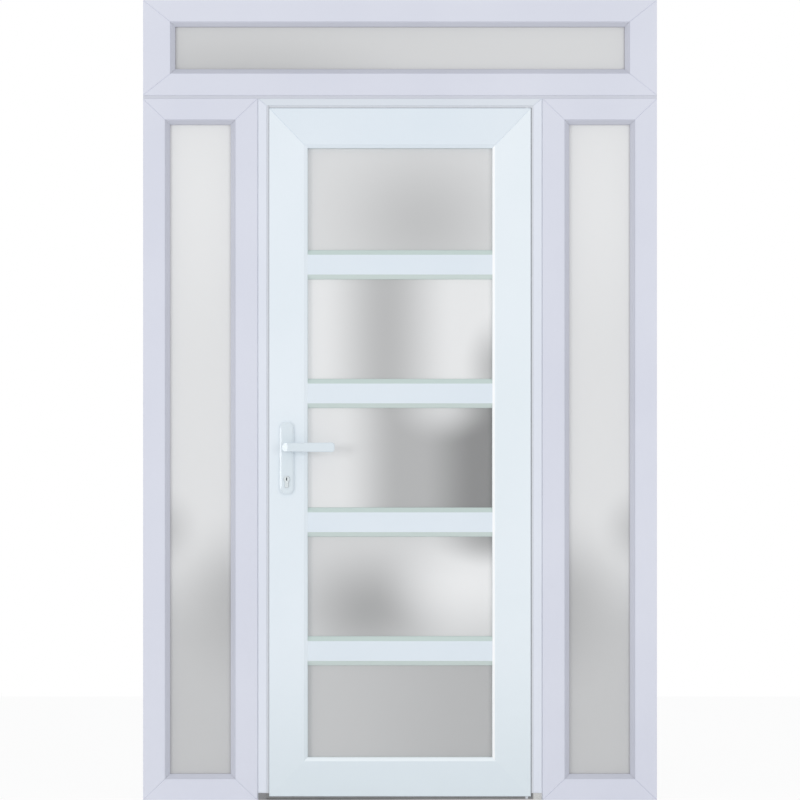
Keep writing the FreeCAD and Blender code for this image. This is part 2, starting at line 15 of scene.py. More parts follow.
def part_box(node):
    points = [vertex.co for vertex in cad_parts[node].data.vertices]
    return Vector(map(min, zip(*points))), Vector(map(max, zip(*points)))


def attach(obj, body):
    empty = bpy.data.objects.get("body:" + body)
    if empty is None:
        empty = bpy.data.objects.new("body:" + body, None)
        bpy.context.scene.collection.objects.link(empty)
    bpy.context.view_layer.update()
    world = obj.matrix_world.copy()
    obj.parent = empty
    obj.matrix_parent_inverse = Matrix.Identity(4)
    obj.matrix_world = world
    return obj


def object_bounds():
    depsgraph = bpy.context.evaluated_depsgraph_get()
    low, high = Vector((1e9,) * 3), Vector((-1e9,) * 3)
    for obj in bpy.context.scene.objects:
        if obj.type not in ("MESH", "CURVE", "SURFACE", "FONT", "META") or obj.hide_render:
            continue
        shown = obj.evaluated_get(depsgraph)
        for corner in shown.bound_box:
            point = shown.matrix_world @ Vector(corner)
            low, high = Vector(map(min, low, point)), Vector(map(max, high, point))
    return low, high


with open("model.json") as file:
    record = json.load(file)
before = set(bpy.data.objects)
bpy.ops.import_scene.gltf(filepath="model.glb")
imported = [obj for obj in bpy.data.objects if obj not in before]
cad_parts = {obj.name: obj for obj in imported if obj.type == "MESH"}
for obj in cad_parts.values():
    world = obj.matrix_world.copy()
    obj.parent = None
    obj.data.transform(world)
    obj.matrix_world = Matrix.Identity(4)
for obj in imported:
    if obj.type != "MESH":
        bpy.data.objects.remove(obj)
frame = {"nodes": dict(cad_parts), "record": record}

cad_low, cad_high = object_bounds()
print("door set measures", [round(v, 3) for v in cad_high - cad_low], "m")

# %% [markdown]
# Colours are easiest to judge as the 0 to 255 values that a picture shows, but shaders work with
# linear light. One small helper turns the first into the second, so every colour below can be
# written as it should look.

# %% Colours as they look
def seen(red, green, blue):
    """Linear colour of a picture value from 0 to 255."""
    linear = []
    for value in (red, green, blue):
        share = value / 255
        linear.append(share / 12.92 if share <= 0.04045 else ((share + 0.055) / 1.055) ** 2.4)
    return (*linear, 1.0)


def grey(value):
    """Linear colour of a neutral picture value."""
    return seen(value, value, value)


print("mid grey in linear light:", round(grey(128)[0], 3))

# %% [markdown]
# Every finish here is a Principled shader with a little structure fed into it. A helper class keeps
# the node wiring short: it adds nodes, joins sockets, and reads Object coordinates, which stay fixed
# to the piece when the door swings.

# %% A small bench for finishes
class Finish:
    """A node material with one Principled shader and Object coordinates ready to use."""

    def __init__(self, name):
        self.material = bpy.data.materials.new(name)
        self.material.use_nodes = True
        self.nodes = self.material.node_tree.nodes
        self.links = self.material.node_tree.links
        self.shader = self.nodes["Principled BSDF"]
        self.place = self.nodes.new("ShaderNodeTexCoord").outputs["Object"]

    def join(self, source, target):
        self.links.new(source, target)

    def feed(self, socket, value):
        """Set a socket to a plain value, or join another node's output to it."""
        if isinstance(value, (int, float, tuple)):
            socket.default_value = value
        else:
            self.join(value, socket)

    def set(self, **values):
        for key, value in values.items():
            self.shader.inputs[key.replace("_", " ").title().replace("Ior", "IOR")].default_value = value

    def mapped(self, location=(0, 0, 0), scale=(1, 1, 1), kind="POINT"):
        node = self.nodes.new("ShaderNodeMapping")
        node.vector_type = kind
        node.inputs["Location"].default_value = location
        node.inputs["Scale"].default_value = scale
        self.join(self.place, node.inputs["Vector"])
        return node.outputs["Vector"]

    def noise(self, scale, detail=2.0, vector=None):
        node = self.nodes.new("ShaderNodeTexNoise")
        node.inputs["Scale"].default_value = scale
        node.inputs["Detail"].default_value = detail
        self.join(vector or self.place, node.inputs["Vector"])
        return node.outputs["Fac"]

    def axis(self, letter):
        node = self.nodes.new("ShaderNodeSeparateXYZ")
        self.join(self.place, node.inputs["Vector"])
        return node.outputs[letter]

    def math(self, operation, first, second=0.0):
        node = self.nodes.new("ShaderNodeMath")
        node.operation = operation
        self.feed(node.inputs[0], first)
        self.feed(node.inputs[1], second)
        return node.outputs["Value"]

    def off(self, letter, middle):
        """Distance from a plane across one axis."""
        return self.math("ABSOLUTE", self.math("SUBTRACT", self.axis(letter), middle))

    def spread(self, value, low, high, to_low, to_high, smooth=False):
        node = self.nodes.new("ShaderNodeMapRange")
        node.interpolation_type = "SMOOTHSTEP" if smooth else "LINEAR"
        self.join(value, node.inputs["Value"])
        for key, number in (("From Min", low), ("From Max", high), ("To Min", to_low), ("To Max", to_high)):
            node.inputs[key].default_value = number
        return node.outputs["Result"]

    def mixed(self, factor, first, second):
        node = self.nodes.new("ShaderNodeMix")
        node.data_type = "RGBA"
        colours = [socket for socket in node.inputs if socket.type == "RGBA"]
        self.feed(node.inputs["Factor"], factor)
        self.feed(colours[0], first)
        self.feed(colours[1], second)
        return [socket for socket in node.outputs if socket.type == "RGBA"][0]

    def colour(self, source):
        self.join(source, self.shader.inputs["Base Color"])

    def coloured(self):
        """The output that feeds the colour now, to build further on."""
        return self.shader.inputs["Base Color"].links[0].from_socket

    def rough(self, source, low, high):
        self.join(self.spread(source, 0.3, 0.7, low, high), self.shader.inputs["Roughness"])

    def bump(self, height, strength, distance):
        node = self.nodes.new("ShaderNodeBump")
        node.inputs["Strength"].default_value = strength
        node.inputs["Distance"].default_value = distance
        self.join(height, node.inputs["Height"])
        self.join(node.outputs["Normal"], self.shader.inputs["Normal"])


print("finish bench ready")

# %% [markdown]
# The frames are extruded plastic. Up close such a profile has faint draw lines and an orange-peel
# skin, and its white drifts a little along its length. A slow noise tints the colour, a fine one
# breaks up the gloss, and a shallow bump gives the skin.

# %% White plastic of the frames, beads and couplers
SKIN_SCALE = 420.0
SKIN_DEPTH = 0.00015
SKIN_STRENGTH = 0.12
DRIFT_SCALE = 2.2
PLASTIC_IOR = 1.5


def plastic(name, white, shade, roughness=(0.30, 0.42)):
    """Satin extruded plastic whose white drifts slowly towards a shade."""
    finish = Finish(name)
    drift = finish.spread(finish.noise(DRIFT_SCALE, 3.0), 0.35, 0.65, 0.0, 1.0)
    finish.colour(finish.mixed(drift, white, shade))
    skin = finish.noise(SKIN_SCALE, 2.0)
    finish.rough(skin, *roughness)
    finish.bump(skin, SKIN_STRENGTH, SKIN_DEPTH)
    finish.set(ior=PLASTIC_IOR)
    return finish


frame_plastic = plastic("frame_plastic", seen(221, 223, 234), seen(217, 219, 231))
# painted shade: the beads are a darker copy of the frame white
shaded_bead_plastic = plastic("shaded_bead_plastic", seen(203, 205, 216), seen(198, 200, 211))
coupler_plastic = plastic("coupler_plastic", seen(211, 213, 222), seen(207, 209, 218), (0.4, 0.55))
seam_plastic = plastic("seam_plastic", seen(228, 231, 238), seen(224, 227, 235), (0.4, 0.55))
jamb_plastic = plastic("jamb_plastic", seen(228, 232, 241), seen(224, 228, 238))
head_plastic = plastic("head_plastic", seen(222, 227, 234), seen(218, 224, 232))
print("frame, bead, coupler and door frame plastics made")

# %% [markdown]
# The leaf is a cooler white than the frame. It is lightest at hand height, and painted shade greys it a
# touch near the floor, so its colour follows the height as well as the slow drift. The stiles take lighter
# copies of that white as painted light, and the bevels that face the lamp and the ceiling get a painted
# highlight that makes them look whiter than the faces beside them.

# %% Leaf white
LEAF_SHADE_BELOW = 0.55
LEAF_LOW_SHADE_SHARE = 0.85
LEAF_BEVEL = 0.0105
LIT_BEVEL_WIDTH = 0.0068
leaf_low, leaf_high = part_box("leaf_left_stile")
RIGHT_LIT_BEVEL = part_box("leaf_right_stile")[0].x + LIT_BEVEL_WIDTH
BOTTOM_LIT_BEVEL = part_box("leaf_bottom_rail")[1].z - LEAF_BEVEL


def leaf_finish(name, white=seen(228, 236, 243), shade=seen(224, 233, 241)):
    """Cool white plastic with painted shade that greys it slightly towards the floor."""
    finish = plastic(name, white, shade)
    drifted = finish.coloured()
    height = finish.axis("Z")
    low_shade_share = finish.spread(height, leaf_low.z, LEAF_SHADE_BELOW, LEAF_LOW_SHADE_SHARE, 0.0, smooth=True)
    # painted shade: a greyer white near the floor
    finish.colour(finish.mixed(low_shade_share, drifted, seen(222, 231, 236)))
    return finish


def bevel_painted_light(finish, letter, operation, edge, light):
    """Paint a highlight onto the bevel that lies beyond an edge across one axis."""
    on_lit_bevel = finish.math(operation, finish.axis(letter), edge)
    finish.colour(finish.mixed(on_lit_bevel, finish.coloured(), light))
    return finish


leaf_plastic = leaf_finish("leaf_plastic")
# painted light: the stiles are lighter copies of the leaf white, the right one lightest
lit_stile_plastic = leaf_finish("lit_stile_plastic", seen(234, 241, 247), seen(230, 238, 244))
lit_right_plastic = leaf_finish("lit_right_stile_plastic", seen(236, 243, 248), seen(232, 240, 245))
# painted highlight on the right stile's bevel, which faces the lamp
bevel_painted_light(lit_right_plastic, "X", "LESS_THAN", RIGHT_LIT_BEVEL, seen(252, 253, 254))
# painted highlight on the bottom rail's bevel, which faces the ceiling
foot_lit_bevel_plastic = bevel_painted_light(
    leaf_finish("lit_bevel_bottom_rail_plastic"), "Z", "GREATER_THAN", BOTTOM_LIT_BEVEL, seen(240, 247, 251)
)
print("leaf runs from", round(leaf_low.z, 3), "to", round(leaf_high.z, 3), "m")

# %% [markdown]
# The level bars carry painted shade, a pale green grey, on their sloping edges. These shaded strips repeat
# at every bar, so the height is folded by the bar pitch and compared with half the bar's flat face. The
# lower strip looks away from the sky and its painted shade is written a little lighter, so that both look
# alike.

# %% Painted shade on the sloping edges of the bars
BAR_COUNT = 4
BAR_FACE = 0.057
BAR_WIDTH = 0.083
PANE_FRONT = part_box("leaf_panes")[0].y
STRIP_MARGIN = 0.0005
bars_low, bars_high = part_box("leaf_bars")
bar_pitch = (bars_high.z - bars_low.z - BAR_WIDTH) / (BAR_COUNT - 1)
bar_middles = [bars_high.z - BAR_WIDTH / 2 - i * bar_pitch for i in range(BAR_COUNT)]

bar_plastic = leaf_finish("bar_plastic")
bar_white = bar_plastic.coloured()
above_lowest = bar_plastic.math("SUBTRACT", bar_plastic.axis("Z"), bars_low.z)
folded = bar_plastic.math("FLOORED_MODULO", above_lowest, bar_pitch)
above_middle = bar_plastic.math("SUBTRACT", folded, BAR_WIDTH / 2)
on_strip = bar_plastic.math("GREATER_THAN", bar_plastic.math("ABSOLUTE", above_middle), BAR_FACE / 2)
in_front = bar_plastic.math("LESS_THAN", bar_plastic.axis("Y"), PANE_FRONT + STRIP_MARGIN)
strip = bar_plastic.math("MULTIPLY", on_strip, in_front)
upper = bar_plastic.math("GREATER_THAN", above_middle, 0.0)
# painted shade on the slopes, lighter on the lower one
strip_shade_green = bar_plastic.mixed(upper, seen(209, 221, 217), seen(202, 217, 213))
bar_plastic.colour(bar_plastic.mixed(strip, bar_white, strip_shade_green))
print("bar pitch", round(bar_pitch, 4), "m")

# %% [markdown]
# The glass is frosted, so nothing shows through it as a shape: what stands behind it and in front
# of it melts into soft grey patches, and these are put into its colour as painted reflections and a
# painted view through the glass. Each patch is a round gradient, stretched and eased, that pulls the
# grey of its pane towards its own tone. A fine grain roughens the gloss and the surface.

# %% Tools for frosted glass
GRAIN_SCALE = 700.0
GRAIN_DEPTH = 0.0002
GRAIN_STRENGTH = 0.15
GLASS_IOR = 1.45
THROUGH = 100.0


class FrostedGlass(Finish):
    """Satin glass that starts from one grey and takes soft patches."""

    def __init__(self, name):
        super().__init__(name)
        grain = self.noise(GRAIN_SCALE, 3.0)
        self.rough(grain, 0.42, 0.55)
        self.bump(grain, GRAIN_STRENGTH, GRAIN_DEPTH)
        self.set(ior=GLASS_IOR)

    def patch(self, under, centre, radii, value, strength=1.0):
        """Pull a colour towards a grey inside a soft oval at (x, z)."""
        oval = self.mapped((centre[0], 0, centre[1]), (radii[0], THROUGH, radii[1]), "TEXTURE")
        glow = self.nodes.new("ShaderNodeTexGradient")
        glow.gradient_type = "SPHERICAL"
        self.join(oval, glow.inputs["Vector"])
        share = self.spread(glow.outputs["Fac"], 0.0, 1.0, 0.0, strength, smooth=True)
        return self.mixed(share, under, grey(value))

    def slope(self, letter, low, high, value_low, value_high):
        """A grey that eases from one value to another along an axis."""
        share = self.spread(self.axis(letter), low, high, 0.0, 1.0, smooth=True)
        return self.mixed(share, grey(value_low), grey(value_high))


print("frosted glass tools ready")

# %% [markdown]
# The five panes of the leaf are one CAD node, so one material serves them all: each pane gets its
# own greys of painted reflection and painted view through, and the height picks the pane, with the
# change hidden behind the bars.

# %% Glass of the leaf
leaf_glass = FrostedGlass("leaf_glass")

# painted reflections and painted view through the glass, pane by pane
top_pane = leaf_glass.patch(grey(220), (0.06, 1.67), (0.34, 0.30), 194)

second_pane = leaf_glass.patch(grey(234), (-0.04, 1.36), (0.20, 1.6), 186)
second_pane = leaf_glass.patch(second_pane, (0.28, 1.25), (0.11, 0.17), 185)

third_pane = leaf_glass.slope("X", -0.18, 0.0, 231, 180)
to_dark = leaf_glass.spread(leaf_glass.axis("X"), 0.06, 0.22, 0.0, 1.0, smooth=True)
third_pane = leaf_glass.mixed(to_dark, third_pane, grey(139))
third_pane = leaf_glass.patch(third_pane, (0.12, 1.14), (0.17, 0.12), 218)

fourth_pane = leaf_glass.patch(grey(214), (-0.09, 0.55), (0.27, 0.22), 170)
fourth_pane = leaf_glass.patch(fourth_pane, (0.20, 0.63), (0.28, 0.20), 238)
fourth_pane = leaf_glass.patch(fourth_pane, (0.27, 0.76), (0.20, 0.10), 165)

bottom_pane = leaf_glass.slope("X", -0.28, 0.28, 199, 184)

leaf_grey = top_pane
for bar_middle, pane_grey in zip(bar_middles, (second_pane, third_pane, fourth_pane, bottom_pane)):
    below = leaf_glass.math("LESS_THAN", leaf_glass.axis("Z"), bar_middle)
    leaf_grey = leaf_glass.mixed(below, leaf_grey, pane_grey)
leaf_glass.colour(leaf_grey)
print(len(bar_middles) + 1, "panes in one material")

# %% [markdown]
# The two sidelights mirror each other about the door, so their glass reads the distance from the
# middle, whatever the side. Its greys are painted reflections and a painted view through the glass: it
# is bright down to waist height and then greyer, most of all next to the door. The transom glass only
# darkens a little towards its lower left.

# %% Glass of the sidelights and the transom
side_glass = FrostedGlass("sidelight_glass")
mirror = side_glass.nodes.new("ShaderNodeCombineXYZ")
side_glass.join(side_glass.math("ABSOLUTE", side_glass.axis("X")), mirror.inputs["X"])
side_glass.join(side_glass.axis("Y"), mirror.inputs["Y"])
side_glass.join(side_glass.axis("Z"), mirror.inputs["Z"])
side_glass.place = mirror.outputs["Vector"]
# painted view through the glass: bright above waist height, greyer below
side_grey = side_glass.slope("Z", 0.46, 0.76, 200, 227)
side_grey = side_glass.patch(side_grey, (0.58, 1.75), (0.20, 0.50), 233)
side_grey = side_glass.patch(side_grey, (0.69, 0.78), (0.13, 0.14), 200)
side_grey = side_glass.patch(side_grey, (0.47, 0.56), (0.22, 0.30), 187)
side_glass.colour(side_grey)

transom_glass = FrostedGlass("transom_glass")
# painted view through the glass, a little darker towards the lower left
transom_grey = transom_glass.slope("X", -0.65, 0.55, 208, 217)
transom_grey = transom_glass.patch(transom_grey, (-0.45, 2.10), (0.55, 0.14), 196)
transom_glass.colour(transom_grey)
print("sidelight and transom glass made")

# %% [markdown]
# Metal finishes: the threshold is plain drawn aluminium with draw lines along its length, darkened
# on the lock side by painted shade, and the lock parts are brushed steel. Brushed lines are a noise
# that is stretched along the way the metal was drawn.

# %% Drawn and brushed metal
LINE_SCALE = 260.0
LINE_STRETCH = 3.0
LINE_DEPTH = 0.0001
LINE_STRENGTH = 0.15


def drawn_metal(name, bright, dull, roughness, run_axis):
    """Metal whose fine lines run along one axis."""
    finish = Finish(name)
    stretch = [LINE_SCALE] * 3
    stretch["XYZ".index(run_axis)] = LINE_STRETCH
    lines = finish.noise(1.0, 4.0, finish.mapped(scale=stretch))
    finish.colour(finish.mixed(finish.spread(lines, 0.3, 0.7, 0.0, 1.0), dull, bright))
    finish.rough(lines, *roughness)
    finish.bump(lines, LINE_STRENGTH, LINE_DEPTH)
    finish.set(metallic=1.0)
    return finish


lock_metal = drawn_metal("lock_steel", seen(206, 207, 210), seen(170, 171, 175), (0.22, 0.36), "Z")

threshold_metal = drawn_metal(
    "threshold_aluminium", seen(196, 195, 195), seen(172, 171, 172), (0.4, 0.55), "X"
)
threshold_bright = threshold_metal.coloured()
# painted shade: the aluminium darkens towards the lock side
lock_side_shade_share = threshold_metal.spread(threshold_metal.axis("X"), -0.30, 0.38, 1.0, 0.0, smooth=True)
threshold_metal.colour(threshold_metal.mixed(lock_side_shade_share, threshold_bright, seen(114, 114, 115)))
print("metals made")

# %% [markdown]
# The blocks under the jambs are cast in a speckled grey plastic; painted shade darkens them on the
# lock side, so they look lighter on the hinge side. A fine noise with a steep ramp gives the speckle.

# %% Speckled end blocks
SPECKLE_SCALE = 900.0
speckled_block = Finish("speckled_block")
speckle = speckled_block.noise(SPECKLE_SCALE, 1.0)
# painted shade: darker on the lock side, lighter on the hinge side
block_side_shade = speckled_block.spread(speckled_block.axis("X"), -0.2, 0.2, 0.0, 1.0)
block_grey = speckled_block.mixed(block_side_shade, seen(136, 136, 138), seen(210, 210, 208))
fleck = speckled_block.spread(speckle, 0.52, 0.62, 0.0, 0.35)
speckled_block.colour(speckled_block.mixed(fleck, block_grey, seen(90, 90, 92)))
speckled_block.rough(speckle, 0.5, 0.7)
speckled_block.bump(speckle, 0.2, SKIN_DEPTH)
print("end blocks speckled")

# %% [markdown]
# The lock cylinder is bright nickel, and its keyway is a deep narrow slot whose inside is painted near
# black as painted shade. The slot's place follows from the box of the cylinder, so the same material
# paints that shade at both ends.

# %% Lock cylinder
CYLINDER_RADIUS = 0.0085
KEYWAY_HALF_WIDTH = 0.0016
KEYWAY_HALF_HEIGHT = 0.0046
KEYWAY_LIP = 0.0003
barrel_low, barrel_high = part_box("lock_cylinder")
barrel_middle = (barrel_low + barrel_high) / 2
nickel = drawn_metal("cylinder_nickel", seen(226, 233, 235), seen(214, 222, 225), (0.2, 0.32), "Y")
nickel_bright = nickel.coloured()
slot_x = nickel.math("LESS_THAN", nickel.off("X", barrel_middle.x), KEYWAY_HALF_WIDTH)
slot_z = nickel.math("LESS_THAN", nickel.off("Z", barrel_high.z - CYLINDER_RADIUS), KEYWAY_HALF_HEIGHT)
inside_ends = barrel_high.y - barrel_middle.y - KEYWAY_LIP
slot_y = nickel.math("LESS_THAN", nickel.off("Y", barrel_middle.y), inside_ends)
slot_painted_shade = nickel.math("MULTIPLY", nickel.math("MULTIPLY", slot_x, slot_z), slot_y)
# painted shade: the inside of the keyway is painted near black
nickel.colour(nickel.mixed(slot_painted_shade, nickel_bright, seen(14, 14, 15)))
print("lock cylinder stands", round(barrel_middle.z, 3), "m over the floor")

# %% [markdown]
# The handles are cast metal under a thick white enamel, which pools softly and shines more than the
# plastic does. The rubbers of the gaskets and seals and the nylon of the pivots are matt, with a faint
# bloom.

# %% Enamel and rubber
handle_enamel = Finish("handle_enamel")
pooling = handle_enamel.noise(24.0, 2.0)
handle_enamel.colour(handle_enamel.mixed(pooling, seen(224, 233, 239), seen(218, 228, 234)))
handle_enamel.rough(pooling, 0.14, 0.24)
handle_enamel.bump(pooling, 0.04, 0.0003)
handle_enamel.set(ior=PLASTIC_IOR, coat_weight=0.4, coat_roughness=0.08)


def soft_rubber(name, light, dark):
    """Matt rubber with a faint bloom."""
    finish = Finish(name)
    bloom = finish.noise(60.0, 3.0)
    finish.colour(finish.mixed(bloom, dark, light))
    finish.rough(bloom, 0.6, 0.8)
    finish.bump(finish.noise(600.0), 0.2, 0.0001)
    return finish


glazing_rubber = soft_rubber("glazing_rubber", seen(186, 184, 191), seen(174, 172, 180))
pale_rubber = soft_rubber("pale_rubber", seen(205, 214, 213), seen(196, 206, 204))
stop_rubber = soft_rubber("stop_rubber", seen(150, 152, 158), seen(128, 130, 136))
pivot_nylon = soft_rubber("pivot_nylon", seen(220, 223, 228), seen(208, 211, 217))
print("enamel and rubber made")

# %% [markdown]
# Each CAD node already knows its material slot. The finishes go onto the nodes by slot, and the
# nodes that have looks of their own are named one by one.

# %% Put the finishes on the CAD nodes
finish_of_slot = {
    "white_profile": frame_plastic,
    "white_bead": shaded_bead_plastic,
    "coupler_plastic": coupler_plastic,
    "leaf_white": leaf_plastic,
    "frosted_glass": side_glass,
    "threshold_metal": threshold_metal,
    "handle_white": handle_enamel,
    "lock_metal": lock_metal,
}
finish_of_node = {
    "leaf_bars": bar_plastic,
    "leaf_panes": leaf_glass,
    "transom_glass": transom_glass,
    "leaf_rear_beads": leaf_plastic,
    "leaf_left_stile": lit_stile_plastic,
    "leaf_right_stile": lit_right_plastic,
    "leaf_bottom_rail": foot_lit_bevel_plastic,
    "door_left_jamb": jamb_plastic,
    "door_right_jamb": jamb_plastic,
    "door_head": head_plastic,
    "left_coupler": seam_plastic,
    "right_coupler": seam_plastic,
    "threshold_end_blocks": speckled_block,
    "lock_cylinder": nickel,
    "top_pivot": pivot_nylon,
    "bottom_pivot": pivot_nylon,
}


def wear(thing, finish):
    """Give an object one finish on all its faces."""
    thing.data.materials.clear()
    thing.data.materials.append(finish.material)


for subpart in frame["record"]["subparts"]:
    node = subpart["node"]
    wear(frame["nodes"][node], finish_of_node.get(node, finish_of_slot[subpart["material_slot"]]))
print(len(frame["nodes"]), "CAD nodes finished")

# %% [markdown]
# Between each sheet of glass and the plastic round it runs a thin rubber gasket. It is a picture
# frame in the plane of the glass: a plain face is inset to leave a band, the middle is deleted, the
# band is extruded to its thickness and its edges are rolled over with a bevel.

# %% Rubber rings
GASKET_RISE = 0.0014
ROLLED_SHARE = 0.4
SHARP_ANGLE = 0.5


def rubber_ring(bm, rect, y_seat, band, rise):
    """Add a rectangular ring on the plane y_seat that rises towards y_seat + rise."""
    x0, z0, x1, z1 = rect
    start = set(bm.faces)
    bmesh.ops.create_grid(bm, x_segments=1, y_segments=1, size=0.5)
    sheet = [face for face in bm.faces if face not in start]
    corners = list({corner for face in sheet for corner in face.verts})
    stand = Matrix.Rotation(math.radians(90), 4, "X")
    size = Matrix.Diagonal((x1 - x0, 1.0, z1 - z0, 1.0))
    middle = Matrix.Translation(((x0 + x1) / 2, y_seat, (z0 + z1) / 2))
    bmesh.ops.transform(bm, matrix=middle @ size @ stand, verts=corners)
    inset = bmesh.ops.inset_region(
        bm, faces=sheet, thickness=band, use_boundary=True, use_even_offset=True
    )
    ring = inset["faces"]
    bmesh.ops.delete(bm, geom=sheet, context="FACES")
    raised = bmesh.ops.extrude_face_region(bm, geom=ring)["geom"]
    top = [item for item in raised if isinstance(item, bmesh.types.BMVert)]
    bmesh.ops.translate(bm, vec=(0, rise, 0), verts=top)
    crown = {edge for item in raised if isinstance(item, bmesh.types.BMFace) for edge in item.edges}
    outline = [edge for edge in crown if edge.calc_face_angle(0) > SHARP_ANGLE]
    soft = min(band, abs(rise)) * ROLLED_SHARE
    bmesh.ops.bevel(bm, geom=outline, offset=soft, affect="EDGES", segments=2, profile=0.5, material=-1)


def finished(bm, name, finish, body):
    """Turn a bmesh into a piece that rides on a body."""
    bmesh.ops.remove_doubles(bm, verts=bm.verts, dist=1e-7)
    bmesh.ops.recalc_face_normals(bm, faces=bm.faces)
    mesh = bpy.data.meshes.new(name)
    bm.to_mesh(mesh)
    bm.free()
    piece = bpy.data.objects.new(name, mesh)
    bpy.context.scene.collection.objects.link(piece)
    wear(piece, finish)
    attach(piece, body)
    print(name, len(mesh.polygons), "faces on", body)
    return piece


def shrunk(low, high, margin):
    """Rectangle (x0, z0, x1, z1) of a box seen from the front, drawn in by a margin."""
    return (low.x + margin, low.z + margin, high.x - margin, high.z - margin)


print("ring tools ready")

# %% [markdown]
# The fixed lights are beaded from the front, so their gaskets show as a thin dark line at the foot
# of the bead, a little wider in the transom. The bead hides the edge of the glass by a known
# overlap, which places the line. The back of the same glass gets a ring against the rear lip.

# %% Gaskets of the fixed lights
LIGHT_OVERLAP = 0.011
LIGHT_BANDS = {"transom": 0.0012, "left_sidelight": 0.0006, "right_sidelight": 0.0006}
light_rings = bmesh.new()
for light, light_band in LIGHT_BANDS.items():
    glass_low, glass_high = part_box(light + "_glass")
    opening = shrunk(glass_low, glass_high, LIGHT_OVERLAP)
    rubber_ring(light_rings, opening, glass_low.y, light_band, -GASKET_RISE)
    rubber_ring(light_rings, opening, glass_high.y, light_band, GASKET_RISE)
finished(light_rings, "light_gaskets", glazing_rubber, "frame")

# %% [markdown]
# In the leaf the front gasket is pale and thin. The beads at the back stop a little short of the
# front lip, so the back rings start further out.

# %% Gaskets of the leaf
PANE_OVERLAP = 0.017
BEAD_OVERLAP = 0.015
LEAF_BAND = 0.0009
REAR_BAND = 0.0022
panes_low, panes_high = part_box("leaf_panes")
daylight = shrunk(panes_low, panes_high, PANE_OVERLAP)
pane_tops = [daylight[3]] + [z - BAR_WIDTH / 2 for z in bar_middles]
pane_bottoms = [z + BAR_WIDTH / 2 for z in bar_middles] + [daylight[1]]
further_out = PANE_OVERLAP - BEAD_OVERLAP
leaf_rings = bmesh.new()
for pane_top, pane_bottom in zip(pane_tops, pane_bottoms):
    rubber_ring(
        leaf_rings, (daylight[0], pane_bottom, daylight[2], pane_top), panes_low.y, LEAF_BAND, -GASKET_RISE
    )
    behind = (
        daylight[0] - further_out,
        pane_bottom - further_out,
        daylight[2] + further_out,
        pane_top + further_out,
    )
    rubber_ring(leaf_rings, behind, panes_high.y, REAR_BAND, GASKET_RISE)
finished(leaf_rings, "leaf_gaskets", pale_rubber, "leaf")

# %% [markdown]
# Two soft seals close the gap round the leaf. One is a strip that lines the frame and fills most of
# the gap, so that it shows as a pale grey line round the door; below the threshold top it is painted
# dark, as painted shade under the leaf. Each of its lengths is a block with rolled edges. On the pivot
# side the strip is a thin lip near the front, since the leaf's rounded corner swings through the space
# behind it, and the level strips are notched round the pivots. The other seal runs round the stop that
# the leaf closes on, and stands just short of it.

# %% Seals round the leaf
SEAL_SLIT = 0.0008
SEAL_FRONT = -0.0336
SEAL_BACK = -0.0240
LIP_SLIT = 0.0015
LIP_FRONT = -0.0347
LIP_BACK = -0.0334
SEAL_ROLL = 0.0005
PIVOT_TUCK = 0.003
STOP_SEAL_BAND = 0.008
STOP_SEAL_RISE = 0.0035
STOP_SEAL_INSET = 0.004
STOP_WIDTH = 0.020
STOP_PLANE = -0.002
THRESHOLD_PLATE = 0.004
head_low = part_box("door_head")[0]
jamb_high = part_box("door_left_jamb")[1]
threshold_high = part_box("threshold")[1]
pivot_low, pivot_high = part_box("top_pivot")
leaf_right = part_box("leaf_right_stile")[1].x
opening_half = -(jamb_high.x - STOP_WIDTH)
opening_top = head_low.z + STOP_WIDTH

seal_rubber = soft_rubber("seal_rubber", seen(218, 221, 227), seen(208, 211, 217))
seal_pale = seal_rubber.coloured()
# painted shade: the seal is painted dark below the threshold top, under the leaf
shade_under_leaf = seal_rubber.math("LESS_THAN", seal_rubber.axis("Z"), threshold_high.z)
seal_rubber.colour(seal_rubber.mixed(shade_under_leaf, seal_pale, seen(132, 132, 132)))


def seal_strip(bm, low, high):
    """Add a straight seal between two opposite corners, with rolled edges."""
    before = set(bm.verts)
    bmesh.ops.create_cube(bm, size=1.0)
    block = [vert for vert in bm.verts if vert not in before]
    size = Matrix.Diagonal((*[b - a for a, b in zip(low, high)], 1.0))
    middle = Matrix.Translation([(a + b) / 2 for a, b in zip(low, high)])
    bmesh.ops.transform(bm, matrix=middle @ size, verts=block)
    edges = list({edge for vert in block for edge in vert.link_edges})
    bmesh.ops.bevel(bm, geom=edges, offset=SEAL_ROLL, affect="EDGES", segments=2, profile=0.5, material=-1)


rebate_seal = bmesh.new()
seal_strip(
    rebate_seal,
    (-opening_half, SEAL_FRONT, THRESHOLD_PLATE),
    (leaf_low.x - SEAL_SLIT, SEAL_BACK, opening_top),
)
seal_strip(
    rebate_seal,
    (leaf_right + LIP_SLIT, LIP_FRONT, THRESHOLD_PLATE),
    (opening_half, LIP_BACK, opening_top),
)
level_lengths = [(leaf_low.x, pivot_low.x + PIVOT_TUCK), (pivot_high.x - PIVOT_TUCK, opening_half)]
level_heights = [(THRESHOLD_PLATE, leaf_low.z - SEAL_SLIT), (leaf_high.z + SEAL_SLIT, opening_top)]
for z_low, z_high in level_heights:
    for x_low, x_high in level_lengths:
        seal_strip(rebate_seal, (x_low, SEAL_FRONT, z_low), (x_high, SEAL_BACK, z_high))
finished(rebate_seal, "rebate_seal", seal_rubber, "frame")

stop_seal = bmesh.new()
stop_rect = (
    -opening_half + STOP_SEAL_INSET,
    threshold_high.z - STOP_SEAL_BAND - STOP_SEAL_INSET,
    opening_half - STOP_SEAL_INSET,
    opening_top - STOP_SEAL_INSET,
)
rubber_ring(stop_seal, stop_rect, STOP_PLANE, STOP_SEAL_BAND, -STOP_SEAL_RISE)
finished(stop_seal, "stop_seal", stop_rubber, "frame")

